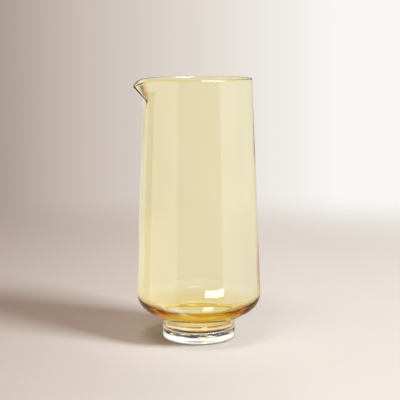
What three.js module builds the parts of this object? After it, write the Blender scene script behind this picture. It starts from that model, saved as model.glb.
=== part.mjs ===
// A handle-less water pitcher in two pieces of glass: a mouth-blown body of pale amber, pulled into a
// pouring lip at the rim, and a thick disc of clear glass fused under its floor.
// Millimetres, +Z up. The origin is on the vessel's axis at the underside of the foot, and the lip
// points along -X.

import * as THREE from 'three';

// Clear foot
const FOOT_RADIUS = 30.7;
const FOOT_HEIGHT = 10.6;
const FOOT_BOTTOM_ROUND = 2.8;
const FOOT_TOP_ROUND = 0.6;

// Amber body, outside
const BODY_HEIGHT = 209.4;
const RIM_RADIUS = 45;
const HEEL_RADIUS = 52.4;
const HEEL_ROUND = 17.4;
const UNDERSIDE_SLOPE_DEGREES = 29.6;
const COLLAR_RADIUS = 30.2;
const COLLAR_HEIGHT = 6;
const COLLAR_ROOT_ROUND = 1;

// Amber body, inside: thicknesses of the glass, and a floor that slopes less than the underside, so that
// the glass gathers above the collar
const RIM_THICKNESS = 2.2;
const HEEL_THICKNESS = 2.2;
const INNER_HEEL_ROUND = 10;
const INNER_SLOPE_DEGREES = 22;
const COLLAR_THICKNESS = 2;
const FLOOR_THICKNESS = 1.2;
const WELL_MOUTH_HEIGHT = 12.5;
const WELL_MOUTH_ROUND = 4;
const WELL_FLOOR_ROUND = 1.5;

// Pouring lip: how far its tip stands out past the round rim, how far it dips below the rim, how far
// the pull reaches down the wall and round the rim on each side, and how blunt its keel is
const LIP_REACH = 12;
const LIP_DIP = 5.1;
const LIP_DEPTH = 17;
const LIP_SPREAD_DEGREES = 46;
const LIP_BLUNTNESS_DEGREES = 2.5;

// Facets: steps round the axis, how much closer they stand at the lip, and rows along the profile
const STEPS_ROUND_AXIS = 84;
const GATHER_AT_LIP = 0.6;
const HEEL_STEPS = 9;
const BEAD_STEPS = 6;
const CORNER_STEPS = 3;
const WALL_STEPS = 3;
const LIP_STEPS = 8;

const AMBER = new THREE.MeshStandardMaterial({ color: 0xe4d9ae, roughness: 0.05, metalness: 0 });
const CLEAR = new THREE.MeshStandardMaterial({ color: 0xefe9e6, roughness: 0.05, metalness: 0 });

// A profile is a row of points with the radius as x and the height as y.
const point = (radius, height) => new THREE.Vector2(radius, height);

// Points along an arc, both ends included, with angles from the outward direction towards up.
function arc(centre, radius, from, to, steps) {
  const points = [];
  for (let step = 0; step <= steps; step++) {
    const angle = THREE.MathUtils.lerp(from, to, step / steps);
    points.push(point(radius * Math.cos(angle), radius * Math.sin(angle)).add(centre));
  }
  return points;
}

// Points along a straight run, without its ends.
function between(from, to, steps) {
  const points = [];
  for (let step = 1; step < steps; step++) {
    points.push(from.clone().lerp(to, step / steps));
  }
  return points;
}

// The arc that rounds the corner between two straight runs.
function roundedCorner(before, corner, after, radius) {
  const back = before.clone().sub(corner).normalize();
  const ahead = after.clone().sub(corner).normalize();
  const halfAngle = Math.acos(back.dot(ahead)) / 2;
  const inward = back.clone().add(ahead).normalize();
  const centre = corner.clone().addScaledVector(inward, radius / Math.sin(halfAngle));
  const turn = Math.PI - 2 * halfAngle;
  const side = Math.sign(ahead.cross(back));
  const middle = inward.negate().angle();
  return arc(centre, radius, middle - side * turn / 2, middle + side * turn / 2, CORNER_STEPS);
}

// One side of the vessel's wall: from the slope that rises out of the given foot, round the heel's arc,
// and along the arc's tangent to the given point below the rim.
function heelAndWall(foot, slope, heelRadius, round, top) {
  const centreRadius = heelRadius - round;
  const centreHeight = foot.y + (centreRadius - foot.x) * Math.tan(slope) + round / Math.cos(slope);
  const centre = point(centreRadius, centreHeight);
  const reach = top.clone().sub(centre);
  const tangent = reach.angle() - Math.acos(round / reach.length());
  const heel = arc(centre, round, slope - Math.PI / 2, tangent, HEEL_STEPS);
  const wallFoot = heel.at(-1);
  const lipFoot = wallFoot.clone().lerp(top, 1 - LIP_DEPTH / (top.y - wallFoot.y));
  const lowWall = between(wallFoot, lipFoot, WALL_STEPS);
  const highWall = between(lipFoot, top, LIP_STEPS);
  return [...heel, ...lowWall, lipFoot, ...highWall];
}

// The amber body's closed profile, from the middle of its underside out, up and over the rim, and down
// inside to the middle of its floor. Height 0 is the joint with the foot.
function amberProfile() {
  const underside = THREE.MathUtils.degToRad(UNDERSIDE_SLOPE_DEGREES);
  const innerSlope = THREE.MathUtils.degToRad(INNER_SLOPE_DEGREES);
  const collarRoot = point(COLLAR_RADIUS, COLLAR_HEIGHT);
  const wellRadius = COLLAR_RADIUS - COLLAR_THICKNESS;
  const wellMouth = point(wellRadius, WELL_MOUTH_HEIGHT);
  const innerHeelRadius = HEEL_RADIUS - HEEL_THICKNESS;

  const beadRound = RIM_THICKNESS / 2;
  const beadCentre = point(RIM_RADIUS - beadRound, BODY_HEIGHT - beadRound);
  const bead = arc(beadCentre, beadRound, 0, Math.PI, BEAD_STEPS);
  const outside = heelAndWall(collarRoot, underside, HEEL_RADIUS, HEEL_ROUND, bead[0]);
  const inside = heelAndWall(wellMouth, innerSlope, innerHeelRadius, INNER_HEEL_ROUND, bead.at(-1));
  inside.reverse();

  const undersideCentre = point(0, 0);
  const collarFoot = point(COLLAR_RADIUS, 0);
  const wellCorner = point(wellRadius, FLOOR_THICKNESS);
  const floorCentre = point(0, FLOOR_THICKNESS);

  return [
    undersideCentre,
    collarFoot,
    ...roundedCorner(collarFoot, collarRoot, outside[0], COLLAR_ROOT_ROUND),
    ...outside,
    ...bead,
    ...inside,
    ...roundedCorner(inside.at(-1), wellMouth, wellCorner, WELL_MOUTH_ROUND),
    ...roundedCorner(wellMouth, wellCorner, floorCentre, WELL_FLOOR_ROUND),
    floorCentre,
  ];
}

// The clear foot's profile, from the middle of its underside to the middle of its top.
function footProfile() {
  const undersideCentre = point(0, 0);
  const bottomEdge = point(FOOT_RADIUS, 0);
  const topEdge = point(FOOT_RADIUS, FOOT_HEIGHT);
  const topCentre = point(0, FOOT_HEIGHT);
  return [
    undersideCentre,
    ...roundedCorner(undersideCentre, bottomEdge, topEdge, FOOT_BOTTOM_ROUND),
    ...roundedCorner(bottomEdge, topEdge, topCentre, FOOT_TOP_ROUND),
    topCentre,
  ];
}

// The pull of the lip at a turn from its keel and a depth below the rim's bead: how strong it is at that
// depth, and the share of it that is left at that turn. The strength runs out along the straight keel, and
// the share runs out smoothly into the round wall.
function lipPull(turnFromLip, depth) {
  const strength = Math.max(0, 1 - depth / LIP_DEPTH);
  if (strength === 0) {
    return { strength: 0, share: 0 };
  }
  const spread = THREE.MathUtils.degToRad(LIP_SPREAD_DEGREES) * Math.sqrt(strength);
  const bluntness = THREE.MathUtils.degToRad(LIP_BLUNTNESS_DEGREES);
  const softTurn = Math.hypot(turnFromLip, bluntness) - bluntness;
  const share = Math.max(0, 1 - softTurn / spread) ** 3;
  return { strength, share };
}

// Turns a lathed body upright, gathers its facets towards the lip and pulls the lip out of the rim.
function pullLip(geometry) {
  const positions = geometry.getAttribute('position');
  for (let index = 0; index < positions.count; index++) {
    const across = positions.getX(index);
    const height = positions.getY(index);
    const along = positions.getZ(index);
    const evenTurn = Math.atan2(across, along);
    const turn = evenTurn - GATHER_AT_LIP * Math.sin(evenTurn);
    const depth = Math.max(0, BODY_HEIGHT - RIM_THICKNESS / 2 - height);
    const { strength, share } = lipPull(turn, depth);
    const radius = Math.hypot(across, along) * (1 + strength * share * LIP_REACH / RIM_RADIUS);
    const dip = LIP_DIP * strength * share ** 2;
    positions.setXYZ(index, -radius * Math.cos(turn), -radius * Math.sin(turn), height - dip);
  }
  geometry.computeVertexNormals();
  return geometry;
}

function makeAmberBody() {
  const geometry = pullLip(new THREE.LatheGeometry(amberProfile(), STEPS_ROUND_AXIS));
  const mesh = new THREE.Mesh(geometry, AMBER);
  mesh.name = 'amber_body';
  mesh.position.z = FOOT_HEIGHT;
  return mesh;
}

function makeClearFoot() {
  const geometry = new THREE.LatheGeometry(footProfile(), STEPS_ROUND_AXIS);
  geometry.rotateX(Math.PI / 2);
  const mesh = new THREE.Mesh(geometry, CLEAR);
  mesh.name = 'clear_foot';
  return mesh;
}

const pitcher = new THREE.Group();
pitcher.name = 'water_pitcher';
pitcher.add(makeClearFoot(), makeAmberBody());

export default pitcher;
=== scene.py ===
"""A mouth-blown water pitcher of pale amber glass on a thick clear foot, in a pale studio.

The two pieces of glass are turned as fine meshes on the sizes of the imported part, and their glass takes its
colour from its depth. Lengths are in metres, +Z is up and the pouring lip points along -X.
"""

import math

import bpy
from bpy.props import FloatProperty, FloatVectorProperty, PointerProperty
from mathutils import Matrix, Vector


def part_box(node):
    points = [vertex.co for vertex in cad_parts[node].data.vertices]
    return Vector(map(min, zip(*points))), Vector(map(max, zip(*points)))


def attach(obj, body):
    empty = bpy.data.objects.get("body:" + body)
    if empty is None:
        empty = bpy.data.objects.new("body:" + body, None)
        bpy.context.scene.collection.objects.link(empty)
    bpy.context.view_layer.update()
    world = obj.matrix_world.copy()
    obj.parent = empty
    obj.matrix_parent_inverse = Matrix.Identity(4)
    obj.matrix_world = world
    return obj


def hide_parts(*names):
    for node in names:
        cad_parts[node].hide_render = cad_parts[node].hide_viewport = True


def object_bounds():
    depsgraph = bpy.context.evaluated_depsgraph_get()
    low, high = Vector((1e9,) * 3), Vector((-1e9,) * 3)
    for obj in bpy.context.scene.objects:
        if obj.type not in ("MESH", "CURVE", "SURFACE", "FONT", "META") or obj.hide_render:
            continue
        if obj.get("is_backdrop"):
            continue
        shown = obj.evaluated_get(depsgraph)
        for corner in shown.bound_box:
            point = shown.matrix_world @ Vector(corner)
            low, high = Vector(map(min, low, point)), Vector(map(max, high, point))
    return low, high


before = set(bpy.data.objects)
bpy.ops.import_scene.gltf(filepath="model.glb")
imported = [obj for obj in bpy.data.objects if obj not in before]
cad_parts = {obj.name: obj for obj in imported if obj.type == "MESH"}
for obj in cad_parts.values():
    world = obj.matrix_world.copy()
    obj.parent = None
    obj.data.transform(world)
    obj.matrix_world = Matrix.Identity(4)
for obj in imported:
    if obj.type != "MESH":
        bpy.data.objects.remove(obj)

bl_info = {
    "name": "Amber glass water pitcher",
    "version": (1, 0, 0),
    "blender": (4, 5, 0),
    "location": "3D View > Sidebar > Pitcher",
    "description": "Builds a mouth-blown water pitcher of amber and clear glass, and a studio to show it in",
    "category": "Add Mesh",
}

CAD_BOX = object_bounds()
BODY_LOW, BODY_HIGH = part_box("amber_body")
FOOT_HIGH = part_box("clear_foot")[1]

# The photograph's frame
PHOTO_PIXELS = 400
SENSOR_WIDTH_MM = 36

# Light meets this many surfaces before it is lost in the thick glass of the heel and the foot
GLASS_BOUNCES = 24

# The two faces of the joint stand this far apart, so that light meets them one after the other
JOINT_GAP = 0.00002

# The names of the mesh attributes that mark the rim's bead and the sides of the lip's keel, where shade is
# painted
BEAD = "bead"
KEEL = "keel"

# The sides of the keel get their painted shade where this share of the lip's pull is left, give or take the
# width
KEEL_SHARE = 0.7
KEEL_WIDTH = 0.18

# Sides of the blown body and how much closer they stand at the lip, and sides of the foot and the floor
BODY_SIDES = 288
GATHER_AT_LIP = 0.5
FOOT_SIDES = 192
FLOOR_SIDES = 96

# Rows along the profiles
BEAD_STEPS = 16
HEEL_STEPS = 32
WALL_STEPS = 24
SLOPE_STEPS = 6
CORNER_STEPS = 8
FOOT_EDGE_STEPS = 16

# The waves in which the blown inside wanders: lobes round the wall, and their twist in radians to a metre
WAVES = ((3, 41), (5, -67))

# A tint that changes nothing
NO_TINT = (1.0, 1.0, 1.0)

# Places on the noise where the painted streaks below the joint are dark, golden, still golden and pale
PAINTED_STREAK_STOPS = (0.505, 0.545, 0.585, 0.625)

# Half the depths in which the painted streaks set in and fade
PAINTED_STREAKS_SOFT_START = 0.0003
PAINTED_STREAKS_SOFT_END = 0.0005

# Radii between which the painted shade of the foot's lower edge sets in
EDGE_FROM = 0.0275
EDGE_FULL = 0.0285

# Places across the picture of the backdrop's four colours
BACKDROP_STOPS = (0.0, 0.2, 0.5, 0.85)

# Lifts between which the backdrop behind the glass gives way to the ceiling
CEILING_FROM = math.radians(25)
CEILING_FULL = math.radians(45)

# Lifts between which the mirrored screens give way to the light above the room
OVERHEAD_FROM = math.radians(7)
OVERHEAD_FULL = math.radians(15)

# Lifts between which the mirrored screens give way to the table in front of the pitcher
TABLE_FROM = math.radians(-9.5)
TABLE_FULL = math.radians(-16)

# Sines of the start, end and soft edge of the lifts at which the backdrop glows behind the glass
GLOW_LIFTS = (0.12, 0.42, 0.06)

# Start, end and soft edge of the turns at which a mirrored screen reaches down to the table
SCREEN_TURNS = (math.radians(-78), math.radians(-42), math.radians(8))

# Start, end and soft edge of the patch of light on the table in front of the pitcher: turns to the right
# from the camera, and the sines of its lifts
PATCH_TURNS = (math.radians(10), math.radians(28), math.radians(2))
PATCH_LIFTS = (math.sin(math.radians(-46)), math.sin(math.radians(-22)), 0.03)

# The same for the window high at the right, which glints on the rim
WINDOW_TURNS = (math.radians(10), math.radians(58), math.radians(4))
WINDOW_LIFTS = (math.sin(math.radians(12)), math.sin(math.radians(65)), 0.03)

# The pale screens round the room as the glass mirrors them: turns to the right from the camera, in degrees,
# and colours, which the level of the room multiplies
SCREEN_COLOURS = (
    (-178, (0.21, 0.22, 0.22)),
    (-150, (0.29, 0.30, 0.30)),
    (-128, (0.45, 0.46, 0.44)),
    (-126, (0.37, 0.37, 0.32)),
    (-105, (0.37, 0.37, 0.32)),
    (-103, (0.64, 0.66, 0.64)),
    (-60, (0.72, 0.76, 0.82)),
    (-42, (0.72, 0.76, 0.82)),
    (-40, (0.44, 0.45, 0.52)),
    (45, (0.44, 0.45, 0.52)),
    (47, (0.74, 0.85, 1.10)),
    (75, (0.56, 0.72, 1.05)),
    (98, (0.38, 0.52, 0.84)),
    (131, (0.30, 0.34, 0.42)),
    (150, (0.18, 0.18, 0.20)),
    (178, (0.12, 0.12, 0.12)),
)

# The lamps: turn to the right from the camera, lift above the table, distance, size and colour
KEY_LAMP = {
    "turn": math.radians(57), "lift": math.radians(40), "distance": 3.2,
    "width": 0.93, "height": 0.93, "colour": (0.81, 0.94, 1.0),
}
CARD = {
    "turn": math.radians(25.5), "lift": math.radians(-9), "distance": 0.2,
    "width": 0.108, "height": 0.0074, "colour": (0.9, 0.95, 1.0),
}
TOP_LAMP = {
    "turn": math.radians(-30), "lift": math.radians(70), "distance": 1.1,
    "width": 0.35, "height": 0.35, "colour": (1.0, 0.98, 0.96),
}

# Height of the point on the axis that the card faces
CARD_AIM = 0.0572


class BodySizes(bpy.types.PropertyGroup):
    """Sizes of the blown amber body."""

    rim_height: FloatProperty(
        name="Rim height", description="From the table to the top of the rim",
        default=BODY_HIGH.z, unit="LENGTH")
    joint_height: FloatProperty(
        name="Joint height", description="From the table to the joint with the clear foot",
        default=BODY_LOW.z, unit="LENGTH")
    rim_radius: FloatProperty(
        name="Rim radius", description="Outside of the round rim",
        default=0.045, unit="LENGTH")
    heel_radius: FloatProperty(
        name="Heel radius", description="Outside of the body at its widest, just above the heel",
        default=BODY_HIGH.y, unit="LENGTH")
    heel_round: FloatProperty(
        name="Heel round", description="Radius of the arc that turns the wall under",
        default=0.0174, unit="LENGTH")
    underside_slope: FloatProperty(
        name="Underside slope", description="Rise of the underside from the collar out to the heel",
        default=math.radians(29.6), subtype="ANGLE")
    collar_radius: FloatProperty(
        name="Collar radius", description="Outside of the short collar above the joint",
        default=0.0302, unit="LENGTH")
    collar_height: FloatProperty(
        name="Collar height", description="From the joint up to the underside",
        default=0.006, unit="LENGTH")
    collar_root_round: FloatProperty(
        name="Collar root round", description="Fillet between the collar and the underside",
        default=0.001, unit="LENGTH")
    rim_thickness: FloatProperty(
        name="Rim thickness", description="Glass at the rim, also the width of its round bead",
        default=0.0022, unit="LENGTH")
    heel_thickness: FloatProperty(
        name="Heel thickness", description="Glass at the body's widest, just above the heel",
        default=0.0022, unit="LENGTH")
    inner_heel_round: FloatProperty(
        name="Inner heel round", description="Radius of the arc that turns the inside under",
        default=0.010, unit="LENGTH")
    inner_slope: FloatProperty(
        name="Inner slope", description="Rise of the inside from the well out to the heel",
        default=math.radians(22.0), subtype="ANGLE")
    well_mouth_height: FloatProperty(
        name="Well mouth height", description="From the joint up to where the inside drops into the collar",
        default=0.0125, unit="LENGTH")
    collar_thickness: FloatProperty(
        name="Collar thickness", description="Glass round the well inside the collar",
        default=0.002, unit="LENGTH")
    floor_thickness: FloatProperty(
        name="Floor thickness", description="Amber glass between the well and the clear foot",
        default=0.0012, unit="LENGTH")
    well_mouth_round: FloatProperty(
        name="Well mouth round", description="Rounding where the inside drops into the collar",
        default=0.004, unit="LENGTH")
    well_floor_round: FloatProperty(
        name="Well floor round", description="Rounding between the well's wall and the floor",
        default=0.0015, unit="LENGTH")
    lip_reach: FloatProperty(
        name="Lip reach", description="How far the tip of the lip stands out past the round rim",
        default=0.012, unit="LENGTH")
    lip_dip: FloatProperty(
        name="Lip dip", description="How far the tip of the lip dips below the rim",
        default=0.0051, unit="LENGTH")
    lip_depth: FloatProperty(
        name="Lip depth", description="How far down the wall the pull of the lip reaches",
        default=0.017, unit="LENGTH")
    lip_spread: FloatProperty(
        name="Lip spread", description="How far round the rim the pull of the lip reaches, on each side",
        default=math.radians(46), subtype="ANGLE")
    lip_bluntness: FloatProperty(
        name="Lip bluntness", description="How blunt the keel of the lip is, as a turn about the axis",
        default=math.radians(2.5), subtype="ANGLE")
    waver: FloatProperty(
        name="Waver", description="How far the blown inside wanders from a true round",
        default=0.00012, unit="LENGTH")


class FootSizes(bpy.types.PropertyGroup):
    """Sizes of the clear foot."""

    radius: FloatProperty(
        name="Radius", description="Outside of the disc",
        default=FOOT_HIGH.y, unit="LENGTH")
    height: FloatProperty(
        name="Height", description="From the table to the joint",
        default=FOOT_HIGH.z, unit="LENGTH")
    bottom_round: FloatProperty(
        name="Bottom round", description="Rounding of the edge that meets the table",
        default=0.0028, unit="LENGTH")
    top_round: FloatProperty(
        name="Top round", description="Rounding of the edge at the joint",
        default=0.0006, unit="LENGTH")


class GlassLook(bpy.types.PropertyGroup):
    """Colour and finish of the two glasses."""

    refraction: FloatProperty(
        name="Refraction", description="Index of refraction of both glasses",
        default=1.5, min=1.0, max=2.0)
    amber_depth_colour: FloatVectorProperty(
        name="Amber in depth", description="Colour that very thick amber glass lets through",
        default=(0.94, 0.83, 0.05), size=3, subtype="COLOR", min=0.0, max=1.0)
    amber_density: FloatProperty(
        name="Amber density", description="How fast the amber takes the other colours out, per metre",
        default=130.0, min=0.0)
    # Painted shade: a brown tint on the sides of the lip's keel, for the dark edges that the lip shows
    keel_painted_shade: FloatVectorProperty(
        name="Keel tint", description="Colour that the sides of the keel add to the light that crosses them",
        default=(0.70, 0.36, 0.06), size=3, subtype="COLOR", min=0.0, max=1.0)
    # Painted shade: a deeper amber on the rim's bead, for the light that runs along inside it
    bead_painted_shade: FloatVectorProperty(
        name="Bead tint", description="Colour that the rim's bead adds to the light that crosses it",
        default=(0.98, 0.92, 0.62), size=3, subtype="COLOR", min=0.0, max=1.0)
    # Painted shade and painted reflection: dark and golden streaks in the foot just below the joint, for the
    # dark floor and the amber body that the foot's top reflects
    painted_streak_dark: FloatVectorProperty(
        name="Dark cords", description="Darkest colour of the cords of amber drawn into the foot",
        default=(0.002, 0.0015, 0.001), size=3, subtype="COLOR", min=0.0, max=1.0)
    painted_streak_gold: FloatVectorProperty(
        name="Golden cords", description="Middle colour of the cords of amber drawn into the foot",
        default=(0.42, 0.33, 0.03), size=3, subtype="COLOR", min=0.0, max=1.0)
    painted_streak_pale: FloatVectorProperty(
        name="Pale cords", description="Palest colour of the cords of amber drawn into the foot",
        default=(0.95, 0.90, 0.75), size=3, subtype="COLOR", min=0.0, max=1.0)
    painted_streak_scale: FloatProperty(
        name="Cord scale", description="Cords to a metre along the foot's side",
        default=100.0)
    painted_streak_stretch: FloatProperty(
        name="Cord stretch", description="How much longer the cords are than they are tall",
        default=6.0)
    painted_streaks_from: FloatProperty(
        name="Cords from", description="Depth below the joint where the cords start",
        default=0.0007, unit="LENGTH")
    painted_streaks_to: FloatProperty(
        name="Cords to", description="Depth below the joint where the cords end",
        default=0.0044, unit="LENGTH")
    # Painted shade: the foot's lower edge is darkened to a yellowish brown, for the shade where it meets the
    # table and the amber body that it reflects
    edge_painted_shade: FloatVectorProperty(
        name="Edge tint", description="Colour that the foot's lower edge adds to the light that crosses it",
        default=(0.42, 0.33, 0.17), size=3, subtype="COLOR", min=0.0, max=1.0)
    edge_height: FloatProperty(
        name="Edge height", description="Height of the tinted lower edge of the foot",
        default=0.0022, unit="LENGTH")
    striae_depth: FloatProperty(
        name="Striae depth", description="Height of the faint cords that blowing leaves in the surface",
        default=0.000006, unit="LENGTH")
    striae_scale: FloatProperty(
        name="Striae scale", description="Cords to a metre round the wall",
        default=70.0)
    striae_stretch: FloatProperty(
        name="Striae stretch", description="How much longer the cords are than they are wide",
        default=6.0)


class StudioLook(bpy.types.PropertyGroup):
    """Floor, backdrop, mirrored room and lamps."""

    floor_shaded: FloatVectorProperty(
        name="Floor, shaded side", description="Colour of the floor at the left of the picture",
        default=(0.62, 0.52, 0.465), size=3, subtype="COLOR", min=0.0, max=1.0)
    floor_lit: FloatVectorProperty(
        name="Floor, lit side", description="Colour of the floor at the right of the picture",
        default=(0.88, 0.80, 0.74), size=3, subtype="COLOR", min=0.0, max=1.0)
    shaded_at: FloatProperty(
        name="Shaded at", description="Where the floor is shaded, to the left of the pitcher's axis",
        default=0.24, unit="LENGTH")
    lit_at: FloatProperty(
        name="Lit at", description="Where the floor is lit, to the right of the pitcher's axis",
        default=0.09, unit="LENGTH")
    # Painted light: the floor's colour is made brighter beside the pitcher, for the light that the glass
    # passes onto it
    floor_painted_glow: FloatVectorProperty(
        name="Floor glow", description="Colour of the lit floor beside the pitcher",
        default=(0.95, 0.84, 0.79), size=3, subtype="COLOR", min=0.0, max=1.0)
    glow_reach: FloatProperty(
        name="Glow reach", description="How far past the foot the glow has faded",
        default=0.11, unit="LENGTH")
    floor_through_glass: FloatVectorProperty(
        name="Floor through glass", description="Plain colour of the floor as the glass shows it",
        default=(0.78, 0.71, 0.65), size=3, subtype="COLOR", min=0.0, max=1.0)
    floor_under_foot: FloatVectorProperty(
        name="Floor under the foot", description="Colour of the floor where the glass gathers light on it",
        default=(0.95, 0.88, 0.75), size=3, subtype="COLOR", min=0.0, soft_max=1.0)
    floor_drop: FloatProperty(
        name="Floor drop", description="Film of air between the foot and the floor",
        default=0.0001, unit="LENGTH")
    floor_radius: FloatProperty(
        name="Floor radius", description="Where the floor has faded into the backdrop",
        default=0.88, unit="LENGTH")
    floor_fade: FloatProperty(
        name="Floor fade", description="Width of the ring in which the floor fades",
        default=0.45, unit="LENGTH")
    backdrop_shaded: FloatVectorProperty(
        name="Backdrop, shaded end", description="Colour of the backdrop at the left of the picture",
        default=(0.40, 0.33, 0.285), size=3, subtype="COLOR", min=0.0, max=1.0)
    backdrop_turning: FloatVectorProperty(
        name="Backdrop, turning", description="Colour of the backdrop left of the pitcher",
        default=(0.578, 0.497, 0.445), size=3, subtype="COLOR", min=0.0, max=1.0)
    backdrop_middle: FloatVectorProperty(
        name="Backdrop, middle", description="Colour of the backdrop behind the pitcher",
        default=(0.753, 0.694, 0.638), size=3, subtype="COLOR", min=0.0, max=1.0)
    backdrop_lit: FloatVectorProperty(
        name="Backdrop, lit end", description="Colour of the backdrop at the right of the picture",
        default=(0.94, 0.93, 0.90), size=3, subtype="COLOR", min=0.0, max=1.0)
    backdrop_through_glass: FloatVectorProperty(
        name="Backdrop through glass", description="Even colour that the backdrop tends to behind the glass",
        default=(0.80, 0.735, 0.68), size=3, subtype="COLOR", min=0.0, max=1.0)
    backdrop_glow: FloatVectorProperty(
        name="Backdrop glow", description="Colour of the backdrop above the pitcher, as the glass shows it",
        default=(1.15, 1.12, 1.1), size=3, subtype="COLOR", min=0.0, soft_max=1.0)
    evenness: FloatProperty(
        name="Evenness", description="How even the backdrop is behind the glass",
        default=0.6, min=0.0, max=1.0)
    ceiling_colour: FloatVectorProperty(
        name="Ceiling", description="Colour of the ceiling behind the glass",
        default=(0.66, 0.60, 0.53), size=3, subtype="COLOR", min=0.0, max=1.0)
    # Painted shade: the pale table near the pitcher is mirrored as a warm brown, for the shade round the foot
    table_painted_shade: FloatVectorProperty(
        name="Table", description="Colour of the table near the pitcher, as the glass mirrors it",
        default=(0.50, 0.36, 0.25), size=3, subtype="COLOR", min=0.0, max=1.0)
    window_colour: FloatVectorProperty(
        name="Window", description="Colour of the high window at the right as the glass mirrors it",
        default=(30.0, 30.0, 30.0), size=3, subtype="COLOR", min=0.0, soft_max=1.0)
    patch_colour: FloatVectorProperty(
        name="Patch", description="Colour of the patch of light on the table as the glass mirrors it",
        default=(8.0, 8.0, 8.0), size=3, subtype="COLOR", min=0.0, soft_max=1.0)
    overhead_colour: FloatVectorProperty(
        name="Overhead", description="Colour of the light above the room as the glass mirrors it",
        default=(1.5, 1.46, 1.4), size=3, subtype="COLOR", min=0.0, soft_max=1.0)
    ambient_colour: FloatVectorProperty(
        name="Ambient light", description="Colour of the even light from all round",
        default=(1.0, 0.78, 0.65), size=3, subtype="COLOR", min=0.0, max=1.0)
    ambient: FloatProperty(
        name="Ambient level", description="Level of the even light from all round",
        default=0.34, min=0.0)
    room_level: FloatProperty(
        name="Room level", description="Level of the screens round the room, as the glass mirrors them",
        default=4.0, min=0.0)
    key_power: FloatProperty(
        name="Key lamp", description="Power of the soft lamp at the right",
        default=96.0, min=0.0, unit="POWER")
    card_power: FloatProperty(
        name="Card", description="Power of the bright card that shows above the heel",
        default=0.035, min=0.0, unit="POWER")
    top_power: FloatProperty(
        name="Top lamp", description="Power of the soft lamp overhead",
        default=2.2, min=0.0, unit="POWER")


class PhotoView(bpy.types.PropertyGroup):
    """The photograph's camera."""

    turn: FloatProperty(
        name="Turn", description="Turn of the camera about the pitcher's axis, from looking along +Y",
        default=math.radians(-23.0), subtype="ANGLE")
    distance: FloatProperty(
        name="Distance", description="From the pitcher's axis to the camera, along the table",
        default=0.95, unit="LENGTH")
    height: FloatProperty(
        name="Height", description="Of the camera above the table",
        default=0.2575, unit="LENGTH")
    pitch: FloatProperty(
        name="Pitch", description="How far the camera looks down",
        default=0.146, subtype="ANGLE")
    roll: FloatProperty(
        name="Roll", description="Lean of the camera, which leans the pitcher the other way",
        default=math.radians(-0.19), subtype="ANGLE")
    focal_pixels: FloatProperty(
        name="Focal length", description="Focal length in the photograph's pixels",
        default=1141.0)
    axis_pixel: FloatProperty(
        name="Axis", description="Column of the photograph where the pitcher's axis crosses its middle row",
        default=198.4)


class Wire:
    """A shader socket. Arithmetic on it adds Math nodes and gives the socket that holds the result."""

    def __init__(self, tree, socket):
        self.tree = tree
        self.socket = socket

    def beside(self, name):
        """Another output of the same node."""
        return Wire(self.tree, self.socket.node.outputs[name])

    def maths(self, operation, *values):
        node = self.tree.nodes.new("ShaderNodeMath")
        node.operation = operation
        for slot, value in zip(node.inputs, values):
            plug(self.tree, slot, value)
        return Wire(self.tree, node.outputs[0])

    def __add__(self, other):
        return self.maths("ADD", self, other)

    def __radd__(self, other):
        return self.maths("ADD", other, self)

    def __sub__(self, other):
        return self.maths("SUBTRACT", self, other)

    def __rsub__(self, other):
        return self.maths("SUBTRACT", other, self)

    def __mul__(self, other):
        return self.maths("MULTIPLY", self, other)

    def __rmul__(self, other):
        return self.maths("MULTIPLY", other, self)

    def __truediv__(self, other):
        return self.maths("DIVIDE", self, other)

    def __rtruediv__(self, other):
        return self.maths("DIVIDE", other, self)

    def __lt__(self, other):
        return self.maths("LESS_THAN", self, other)

    def __gt__(self, other):
        return self.maths("GREATER_THAN", self, other)


def plug(tree, slot, value):
    """Links a wire to a socket, or sets the socket's own value."""
    if isinstance(value, Wire):
        tree.links.new(value.socket, slot)
    else:
        slot.default_value = value


class ShaderTree:
    """The nodes of one material or world, cleared and ready for new ones."""

    def __init__(self, owner):
        owner.use_nodes = True
        self.tree = owner.node_tree
        self.tree.nodes.clear()

    def add(self, kind, output=0, settings=None, sockets=None):
        """Adds a node, sets its settings, then its sockets, and gives the wire of one of its outputs."""
        node = self.tree.nodes.new(kind)
        for name, value in (settings or {}).items():
            if name == "stops":
                set_stops(node.color_ramp, value)
            else:
                setattr(node, name, value)
        for name, value in (sockets or {}).items():
            plug(self.tree, node.inputs[name], value)
        return Wire(self.tree, node.outputs[output]) if node.outputs else None

    def mix(self, share, first, second):
        """Mixes two colours, each a wire or its red, green and blue."""
        ends = [colour if isinstance(colour, Wire) else (*colour, 1.0) for colour in (first, second)]
        return self.add(
            "ShaderNodeMix", 2, settings={"data_type": "RGBA"}, sockets={0: share, 6: ends[0], 7: ends[1]})

    def rise(self, value, start, end, easing="SMOOTHSTEP"):
        """Goes from 0 to 1 as a value goes from a start to an end."""
        return self.add(
            "ShaderNodeMapRange", settings={"interpolation_type": easing},
            sockets={"Value": value, "From Min": start, "From Max": end})

    def band(self, value, start, end, edge):
        """A mask that is full between a start and an end and fades over the edge outside them."""
        before = self.rise(value, start - edge, start, "LINEAR")
        after = self.rise(value, end + edge, end, "LINEAR")
        return before * after


def set_stops(ramp, stops):
    """Gives a colour ramp its stops, each a place and a colour."""
    while len(ramp.elements) < len(stops):
        ramp.elements.new(1.0)
    for element, (place, colour) in zip(ramp.elements, stops):
        element.position = place
        element.color = (*colour, 1.0)


def arc(centre, radius, start, end, steps):
    """Points along an arc, both ends included, with angles from outwards towards up."""
    angles = [start + (end - start) * step / steps for step in range(steps + 1)]
    return [centre + radius * Vector((math.cos(angle), math.sin(angle))) for angle in angles]


def between(start, end, steps):
    """Points along a straight run, without its ends."""
    return [start.lerp(end, step / steps) for step in range(1, steps)]


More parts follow.
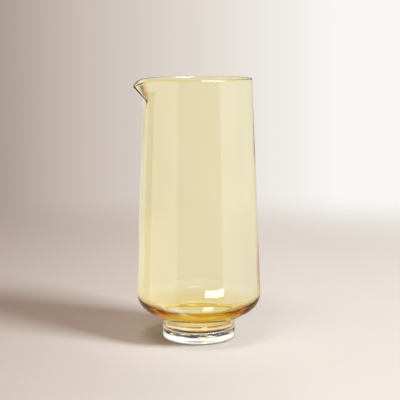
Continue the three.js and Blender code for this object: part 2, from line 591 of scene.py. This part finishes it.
def rounded_corner(before, corner, after, radius, steps=CORNER_STEPS):
    """The arc that rounds the corner between two straight runs."""
    back = (before - corner).normalized()
    ahead = (after - corner).normalized()
    half_angle = back.angle(ahead) / 2
    inward = (back + ahead).normalized()
    centre = corner + inward * radius / math.sin(half_angle)
    half_turn = math.pi / 2 - half_angle
    side = math.copysign(1.0, ahead.cross(back))
    middle = math.atan2(-inward.y, -inward.x)
    return arc(centre, radius, middle - side * half_turn, middle + side * half_turn, steps)


def heel_and_wall(sizes, foot, slope, heel_radius, heel_round, top):
    """One side of the wall: from the slope that rises out of the given foot, round the heel and up to just
    below the rim."""
    centre_radius = heel_radius - heel_round
    centre_height = foot.y + (centre_radius - foot.x) * math.tan(slope) + heel_round / math.cos(slope)
    centre = Vector((centre_radius, centre_height))
    reach = top - centre
    tangent = math.atan2(reach.y, reach.x) - math.acos(heel_round / reach.length)
    heel = arc(centre, heel_round, slope - math.pi / 2, tangent, HEEL_STEPS)
    lip_foot = heel[-1].lerp(top, 1 - sizes.lip_depth / (top.y - heel[-1].y))
    low_wall = between(heel[-1], lip_foot, WALL_STEPS)
    high_wall = between(lip_foot, top, WALL_STEPS)
    return heel + low_wall + [lip_foot] + high_wall


def amber_profile(sizes):
    """The amber body's profile, from the middle of its underside, over the rim, to the middle of its floor.

    Returns the points, as radius and height above the joint, and the number of the first inside point."""
    height = sizes.rim_height - sizes.joint_height
    collar_root = Vector((sizes.collar_radius, sizes.collar_height))
    well_radius = sizes.collar_radius - sizes.collar_thickness
    well_mouth = Vector((well_radius, sizes.well_mouth_height))

    bead_round = sizes.rim_thickness / 2
    bead_centre = Vector((sizes.rim_radius - bead_round, height - bead_round))
    bead = arc(bead_centre, bead_round, 0, math.pi, BEAD_STEPS)
    outside = heel_and_wall(
        sizes, collar_root, sizes.underside_slope, sizes.heel_radius, sizes.heel_round, bead[0])
    inside = heel_and_wall(
        sizes, well_mouth, sizes.inner_slope, sizes.heel_radius - sizes.heel_thickness,
        sizes.inner_heel_round, bead[-1])
    inside.reverse()

    underside_centre = Vector((0, 0))
    collar_foot = Vector((sizes.collar_radius, 0))
    slope_foot = inside[-1]
    well_corner = Vector((well_radius, sizes.floor_thickness))
    floor_centre = Vector((0, sizes.floor_thickness))

    outer = [underside_centre, collar_foot]
    outer += rounded_corner(collar_foot, collar_root, outside[0], sizes.collar_root_round)
    outer += between(outer[-1], outside[0], SLOPE_STEPS) + outside + bead
    inner = inside + between(slope_foot, well_mouth, SLOPE_STEPS)[:-1]
    inner += rounded_corner(slope_foot, well_mouth, well_corner, sizes.well_mouth_round)
    inner += rounded_corner(well_mouth, well_corner, floor_centre, sizes.well_floor_round)
    inner += [floor_centre]
    return outer + inner, len(outer)


def foot_profile(sizes):
    """The clear foot's profile, from the middle of its underside to the middle of its top."""
    top = sizes.height - JOINT_GAP
    bottom_edge = Vector((sizes.radius, 0))
    top_edge = Vector((sizes.radius, top))
    top_centre = Vector((0, top))
    underside_centre = Vector((0, 0))
    points = [underside_centre]
    points += rounded_corner(underside_centre, bottom_edge, top_edge, sizes.bottom_round, FOOT_EDGE_STEPS)
    points += rounded_corner(bottom_edge, top_edge, top_centre, sizes.top_round)
    return points + [top_centre]


def lip_pull(sizes, turn, depth):
    """The pull of the lip at a turn from its keel and a depth below the rim: how strong it is at that depth,
    and the share of it that is left at that turn."""
    strength = max(0.0, 1 - depth / sizes.lip_depth)
    if strength == 0.0:
        return 0.0, 0.0
    spread = sizes.lip_spread * math.sqrt(strength)
    soft_turn = math.hypot(turn, sizes.lip_bluntness) - sizes.lip_bluntness
    return strength, max(0.0, 1 - soft_turn / spread) ** 3


def turned_mesh(name, profile, turns, place):
    """A closed mesh of rings about the axis. place gives a ring point from its number, its profile point and
    its turn. The profile's first and last points lie on the axis."""
    count = len(turns)
    vertices = [place(0, profile[0], 0.0)]
    for number, point in enumerate(profile[1:-1], 1):
        vertices += [place(number, point, turn) for turn in turns]
    vertices.append(place(len(profile) - 1, profile[-1], 0.0))

    faces = []
    for side in range(count):
        following = (side + 1) % count
        faces.append((0, 1 + following, 1 + side))
        for ring in range(len(profile) - 3):
            low = 1 + ring * count
            high = low + count
            faces.append((low + side, low + following, high + following, high + side))
        last = 1 + (len(profile) - 3) * count
        faces.append((last + side, last + following, len(vertices) - 1))

    mesh = bpy.data.meshes.new(name)
    mesh.from_pydata(vertices, [], faces)
    mesh.shade_smooth()
    mesh.update()
    piece = bpy.data.objects.new(name, mesh)
    bpy.context.scene.collection.objects.link(piece)
    return piece


def even_turns(count, gather=0.0):
    """Turns from the lip round the axis and back, standing closer together at the lip by the share gather."""
    turns = [2 * math.pi * step / count - math.pi for step in range(count)]
    return [turn - gather * math.sin(turn) for turn in turns]


def glass_surface(tree, look, tint):
    """A smooth glass shader with faint striae."""
    place = tree.add("ShaderNodeTexCoord", "Object")
    stretched = tree.add(
        "ShaderNodeVectorMath", settings={"operation": "MULTIPLY"},
        sockets={0: place, 1: (1.0, 1.0, 1.0 / look.striae_stretch)})
    striae = tree.add(
        "ShaderNodeTexNoise", sockets={"Vector": stretched, "Scale": look.striae_scale, "Detail": 2.0})
    bump = tree.add(
        "ShaderNodeBump", sockets={"Height": striae, "Strength": 1.0, "Distance": look.striae_depth})
    return tree.add(
        "ShaderNodeBsdfPrincipled",
        sockets={
            "Base Color": tint,
            "Roughness": 0.0,
            "IOR": look.refraction,
            "Transmission Weight": 1.0,
            "Normal": bump,
        })


def amber_glass(look):
    """Pale amber glass, coloured in its depth, with painted shade along the rim's bead and on the sides of
    the lip's keel."""
    material = bpy.data.materials.new("amber_glass")
    tree = ShaderTree(material)
    bead = tree.add("ShaderNodeAttribute", "Fac", settings={"attribute_name": BEAD})
    keel = tree.add("ShaderNodeAttribute", "Fac", settings={"attribute_name": KEEL})
    # Painted shade: deeper amber along the rim's bead and brown on the sides of the lip's keel
    tint = tree.mix(keel, tree.mix(bead, NO_TINT, look.bead_painted_shade), look.keel_painted_shade)
    surface = glass_surface(tree, look, tint)
    depth = tree.add(
        "ShaderNodeVolumeAbsorption",
        sockets={"Color": (*look.amber_depth_colour, 1.0), "Density": look.amber_density})
    tree.add("ShaderNodeOutputMaterial", sockets={"Surface": surface, "Volume": depth})
    return material


def clear_glass(look, joint_height):
    """Colourless glass, with dark and golden streaks of painted shade and painted reflection just below the
    joint, and painted shade round its lower edge."""
    material = bpy.data.materials.new("clear_glass")
    tree = ShaderTree(material)
    place = tree.add("ShaderNodeTexCoord", "Object")
    height = tree.add("ShaderNodeSeparateXYZ", "Z", sockets={"Vector": place})
    radius = tree.add(
        "ShaderNodeVectorMath", "Value", settings={"operation": "LENGTH"}, sockets={0: place})

    stretched = tree.add(
        "ShaderNodeVectorMath", settings={"operation": "MULTIPLY"},
        sockets={0: place, 1: (1.0, 1.0, look.painted_streak_stretch)})
    noise = tree.add(
        "ShaderNodeTexNoise",
        sockets={"Vector": stretched, "Scale": look.painted_streak_scale, "Detail": 3.0, "Distortion": 0.6})
    colours = (look.painted_streak_dark, look.painted_streak_gold, look.painted_streak_gold, look.painted_streak_pale)
    # The streaks below the joint: painted shade and painted reflection of the amber body and the dark floor
    cords = tree.add(
        "ShaderNodeValToRGB", settings={"stops": list(zip(PAINTED_STREAK_STOPS, colours))}, sockets={"Fac": noise})
    below = joint_height - height
    start = tree.rise(below, look.painted_streaks_from - PAINTED_STREAKS_SOFT_START, look.painted_streaks_from + PAINTED_STREAKS_SOFT_START)
    end = tree.rise(below, look.painted_streaks_to - PAINTED_STREAKS_SOFT_END, look.painted_streaks_to + PAINTED_STREAKS_SOFT_END)
    with_painted_streaks = tree.mix(start - end, NO_TINT, cords)

    # Painted shade round the foot's lower edge
    low = tree.rise(height, look.edge_height, look.edge_height / 2)
    outer = tree.rise(radius, EDGE_FROM, EDGE_FULL)
    tint = tree.mix(low * outer, with_painted_streaks, look.edge_painted_shade)
    surface = glass_surface(tree, look, tint)
    tree.add("ShaderNodeOutputMaterial", sockets={"Surface": surface})
    return material


def floor_finish(look, view):
    """Matt pale floor, painted shaded at the left and lit at the right, with painted light beside the foot
    for the light that the glass passes onto it, that fades into the backdrop round its edge. Behind the glass
    it is plain, and brighter under the foot with a painted pool of the light that the glass gathers there."""
    material = bpy.data.materials.new("pale_floor")
    tree = ShaderTree(material)
    place = tree.add("ShaderNodeTexCoord", "Object")
    radius = tree.add(
        "ShaderNodeVectorMath", "Value", settings={"operation": "LENGTH"}, sockets={0: place})
    right = (math.cos(view.turn), math.sin(view.turn), 0.0)
    across = tree.add(
        "ShaderNodeVectorMath", "Value", settings={"operation": "DOT_PRODUCT"}, sockets={0: place, 1: right})

    spread = tree.rise(across, -look.shaded_at, look.lit_at, "LINEAR")
    near = tree.rise(radius, FOOT_HIGH.y + look.glow_reach, FOOT_HIGH.y)
    colour = tree.mix(spread, look.floor_shaded, look.floor_lit)
    # Painted light beside the foot, on the lit side
    colour = tree.mix(near * spread, colour, look.floor_painted_glow)
    lit = tree.add("ShaderNodeBsdfDiffuse", sockets={"Color": colour})

    # Painted light: under the foot, the floor as the glass shows it is brighter, for the light that the glass
    # gathers there
    through_glass = tree.mix(radius < FOOT_HIGH.y, look.floor_through_glass, look.floor_under_foot)
    plain = tree.add("ShaderNodeEmission", sockets={"Color": through_glass, "Strength": 1.0})
    by_glass = tree.add("ShaderNodeLightPath", "Is Transmission Ray")
    matt = tree.add("ShaderNodeMixShader", sockets={0: by_glass, 1: lit, 2: plain})

    clear = tree.add("ShaderNodeBsdfTransparent")
    faded = tree.rise(radius, look.floor_radius - look.floor_fade, look.floor_radius)
    surface = tree.add("ShaderNodeMixShader", sockets={0: faded, 1: matt, 2: clear})
    tree.add("ShaderNodeOutputMaterial", sockets={"Surface": surface})
    return material


def mirrored_room(tree, look, turn, lift):
    """What the glass mirrors: pale screens round the room, the table below them in a warm brown of painted
    shade, the light above them, and a window with its patch of light on the table."""
    screens = tree.add(
        "ShaderNodeValToRGB",
        settings={"stops": [(0.5 + degrees / 360, colour) for degrees, colour in SCREEN_COLOURS]},
        sockets={"Fac": turn / (2 * math.pi) + 0.5})
    room = tree.add(
        "ShaderNodeVectorMath", settings={"operation": "SCALE"},
        sockets={0: screens, "Scale": look.room_level})
    low = tree.rise(lift, math.sin(TABLE_FROM), math.sin(TABLE_FULL))
    high = tree.rise(lift, math.sin(OVERHEAD_FROM), math.sin(OVERHEAD_FULL))
    patch = tree.band(turn, *PATCH_TURNS) * tree.band(lift, *PATCH_LIFTS)
    window = tree.band(turn, *WINDOW_TURNS) * tree.band(lift, *WINDOW_LIFTS)
    # The mirrored table below the screens, in its painted shade
    room = tree.mix(low * (1 - tree.band(turn, *SCREEN_TURNS)), room, look.table_painted_shade)
    room = tree.mix(high, room, look.overhead_colour)
    room = tree.mix(patch, room, look.patch_colour)
    return tree.mix(window, room, look.window_colour)


def make_backdrop(look, view):
    """The world: a backdrop that is shaded at the left and lit at the right, and that the glass shows more
    even and with a glow above, the room that the glass mirrors, and an even light for everything else."""
    world = bpy.data.worlds.new("studio")
    bpy.context.scene.world = world
    tree = ShaderTree(world)
    direction = tree.add("ShaderNodeTexCoord", "Generated")
    lift = tree.add("ShaderNodeSeparateXYZ", "Z", sockets={"Vector": direction})
    right = (math.cos(view.turn), math.sin(view.turn), 0.0)
    ahead = (-math.sin(view.turn), math.cos(view.turn), 0.0)
    dot = {"operation": "DOT_PRODUCT"}
    across = tree.add("ShaderNodeVectorMath", "Value", settings=dot, sockets={0: direction, 1: right})
    along = tree.add("ShaderNodeVectorMath", "Value", settings=dot, sockets={0: direction, 1: ahead})
    turn = across.maths("ARCTAN2", across, 0 - along)

    half_view = math.atan(PHOTO_PIXELS / 2 / view.focal_pixels)
    spread = tree.rise(across, -half_view, half_view, "LINEAR")
    colours = (look.backdrop_shaded, look.backdrop_turning, look.backdrop_middle, look.backdrop_lit)
    backdrop = tree.add(
        "ShaderNodeValToRGB", settings={"stops": list(zip(BACKDROP_STOPS, colours))},
        sockets={"Fac": spread})

    light_path = tree.add("ShaderNodeLightPath", "Is Camera Ray")
    by_glass = light_path.beside("Is Glossy Ray")
    through = light_path.beside("Is Transmission Ray")
    behind = tree.mix(through * look.evenness, backdrop, look.backdrop_through_glass)
    behind = tree.mix(through * tree.band(lift, *GLOW_LIFTS), behind, look.backdrop_glow)
    mirrored = by_glass * (1 - through)
    seen = tree.mix(mirrored, behind, mirrored_room(tree, look, turn, lift))
    ceiling = tree.rise(lift, math.sin(CEILING_FROM), math.sin(CEILING_FULL))
    seen = tree.mix(through * ceiling, seen, look.ceiling_colour)
    shown = tree.add("ShaderNodeBackground", sockets={"Color": seen, "Strength": 1.0})
    even = tree.add(
        "ShaderNodeBackground", sockets={"Color": (*look.ambient_colour, 1.0), "Strength": look.ambient})
    surface = tree.add(
        "ShaderNodeMixShader", sockets={0: light_path + by_glass, 1: even, 2: shown})
    tree.add("ShaderNodeOutputWorld", sockets={"Surface": surface})


def make_floor(look, view):
    """A round floor about the pitcher."""
    rim = [(look.floor_radius * math.cos(turn), look.floor_radius * math.sin(turn), -look.floor_drop)
           for turn in even_turns(FLOOR_SIDES)]
    mesh = bpy.data.meshes.new("floor")
    mesh.from_pydata(rim, [], [tuple(range(len(rim)))])
    floor = bpy.data.objects.new("floor", mesh)
    floor.data.materials.append(floor_finish(look, view))
    floor.visible_glossy = False
    bpy.context.scene.collection.objects.link(floor)
    floor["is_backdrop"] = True


def make_lamp(name, view, target, power, turn, lift, distance, width, height, colour):
    """A soft rectangular lamp that faces the target, at a turn from the camera and a lift above the table."""
    lamp = bpy.data.lights.new(name, "AREA")
    lamp.shape = "RECTANGLE"
    lamp.size = width
    lamp.size_y = height
    lamp.energy = power
    lamp.color = colour
    stand = bpy.data.objects.new(name, lamp)
    azimuth = view.turn + turn
    out = Vector((
        math.sin(azimuth) * math.cos(lift),
        -math.cos(azimuth) * math.cos(lift),
        math.sin(lift),
    ))
    stand.location = target + out * distance
    stand.rotation_mode = "QUATERNION"
    stand.rotation_quaternion = out.to_track_quat("Z", "Y")
    stand.visible_camera = False
    bpy.context.scene.collection.objects.link(stand)
    return stand


def make_camera(view):
    """The photograph's camera."""
    lens = bpy.data.cameras.new("photo_camera")
    lens.sensor_width = SENSOR_WIDTH_MM
    lens.lens = view.focal_pixels / PHOTO_PIXELS * SENSOR_WIDTH_MM
    camera = bpy.data.objects.new("photo_camera", lens)
    sideways = math.atan((view.axis_pixel - PHOTO_PIXELS / 2) / view.focal_pixels)
    heading = Matrix.Rotation(view.turn + sideways, 4, "Z")
    tilt = Matrix.Rotation(math.pi / 2 - view.pitch, 4, "X")
    lean = Matrix.Rotation(view.roll, 4, "Z")
    place = Vector((
        view.distance * math.sin(view.turn),
        -view.distance * math.cos(view.turn),
        view.height,
    ))
    camera.matrix_world = Matrix.Translation(place) @ heading @ tilt @ lean
    bpy.context.scene.collection.objects.link(camera)
    bpy.context.scene.camera = camera


class PITCHER_OT_blow_body(bpy.types.Operator):
    """Makes the amber body with its lip, heel, collar and floor"""

    bl_idname = "pitcher.blow_body"
    bl_label = "Blow the amber body"

    def execute(self, context):
        sizes = context.scene.pitcher_body
        profile, first_inside = amber_profile(sizes)
        height = sizes.rim_height - sizes.joint_height
        bead_height = height - sizes.rim_thickness / 2

        def place(number, point, turn):
            radius = point.x
            if number >= first_inside and radius > 0:
                swell = sum(math.sin(lobes * turn + twist * point.y) for lobes, twist in WAVES)
                fade = min(1.0, (height - point.y) / sizes.lip_depth)
                radius += sizes.waver * swell / len(WAVES) * fade
            strength, share = lip_pull(sizes, turn, max(0.0, bead_height - point.y))
            pulled = radius * (1 + strength * share * sizes.lip_reach / sizes.rim_radius)
            dip = sizes.lip_dip * strength * share ** 2
            return (
                -pulled * math.cos(turn),
                -pulled * math.sin(turn),
                sizes.joint_height + point.y - dip,
            )

        turns = even_turns(BODY_SIDES, GATHER_AT_LIP)
        body = turned_mesh("blown_body", profile, turns, place)
        # Masks for the painted shade on the rim's bead and the sides of the lip's keel
        bead = body.data.attributes.new(BEAD, "FLOAT", "POINT")
        keel = body.data.attributes.new(KEEL, "FLOAT", "POINT")
        for number, point in enumerate(profile[1:-1], 1):
            for side, turn in enumerate(turns):
                vertex = 1 + (number - 1) * BODY_SIDES + side
                _, share = lip_pull(sizes, turn, max(0.0, bead_height - point.y))
                bead.data[vertex].value = float(first_inside - BEAD_STEPS - 1 <= number < first_inside)
                keel.data[vertex].value = max(0.0, 1 - abs(share - KEEL_SHARE) / KEEL_WIDTH)
        body.data.materials.append(amber_glass(context.scene.pitcher_glass))
        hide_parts("amber_body")
        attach(body, "root")
        return {"FINISHED"}


class PITCHER_OT_fuse_foot(bpy.types.Operator):
    """Makes the clear disc that is fused under the body"""

    bl_idname = "pitcher.fuse_foot"
    bl_label = "Fuse the clear foot"

    def execute(self, context):
        sizes = context.scene.pitcher_foot

        def place(number, point, turn):
            return (-point.x * math.cos(turn), -point.x * math.sin(turn), point.y)

        foot = turned_mesh("fused_foot", foot_profile(sizes), even_turns(FOOT_SIDES), place)
        foot.data.materials.append(clear_glass(context.scene.pitcher_glass, sizes.height))
        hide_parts("clear_foot")
        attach(foot, "root")
        return {"FINISHED"}


class PITCHER_OT_set_stage(bpy.types.Operator):
    """Sets the floor, the backdrop, the lamps and the camera"""

    bl_idname = "pitcher.set_stage"
    bl_label = "Set the stage"

    def execute(self, context):
        look = context.scene.pitcher_studio
        view = context.scene.pitcher_view
        middle = Vector((0.0, 0.0, context.scene.pitcher_body.rim_height / 2))
        context.scene.view_settings.view_transform = "Standard"
        context.scene.cycles.max_bounces = GLASS_BOUNCES
        context.scene.cycles.glossy_bounces = GLASS_BOUNCES
        context.scene.cycles.transmission_bounces = GLASS_BOUNCES
        make_floor(look, view)
        make_backdrop(look, view)
        make_camera(view)
        key = make_lamp("key_lamp", view, middle, look.key_power, **KEY_LAMP)
        key.visible_glossy = False
        key.visible_transmission = False
        card = make_lamp("card", view, Vector((0.0, 0.0, CARD_AIM)), look.card_power, **CARD)
        card.visible_diffuse = False
        card.visible_transmission = False
        top = make_lamp("top_lamp", view, middle, look.top_power, **TOP_LAMP)
        top.visible_glossy = False
        top.visible_transmission = False
        return {"FINISHED"}


class PITCHER_PT_sidebar(bpy.types.Panel):
    """Sizes, looks and steps of the pitcher"""

    bl_idname = "PITCHER_PT_sidebar"
    bl_label = "Glass pitcher"
    bl_space_type = "VIEW_3D"
    bl_region_type = "UI"
    bl_category = "Pitcher"

    def draw(self, context):
        for operator in (PITCHER_OT_blow_body, PITCHER_OT_fuse_foot, PITCHER_OT_set_stage):
            self.layout.operator(operator.bl_idname)
        for owner in GROUPS:
            group = getattr(context.scene, owner)
            box = self.layout.box()
            for name in group.bl_rna.properties.keys():
                if name not in ("rna_type", "name"):
                    box.prop(group, name)


GROUPS = {
    "pitcher_body": BodySizes,
    "pitcher_foot": FootSizes,
    "pitcher_glass": GlassLook,
    "pitcher_studio": StudioLook,
    "pitcher_view": PhotoView,
}
CLASSES = (
    *GROUPS.values(),
    PITCHER_OT_blow_body,
    PITCHER_OT_fuse_foot,
    PITCHER_OT_set_stage,
    PITCHER_PT_sidebar,
)


def register():
    for kind in CLASSES:
        bpy.utils.register_class(kind)
    for owner, group in GROUPS.items():
        setattr(bpy.types.Scene, owner, PointerProperty(type=group))


def unregister():
    for owner in GROUPS:
        delattr(bpy.types.Scene, owner)
    for kind in reversed(CLASSES):
        bpy.utils.unregister_class(kind)


def main():
    register()
    bpy.ops.pitcher.blow_body()
    bpy.ops.pitcher.fuse_foot()
    bpy.ops.pitcher.set_stage()
    boxes = {"cad": CAD_BOX, "visual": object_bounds()}
    sizes = {name: [list(corner) for corner in box] for name, box in boxes.items()}


if __name__ == "__main__":
    main()
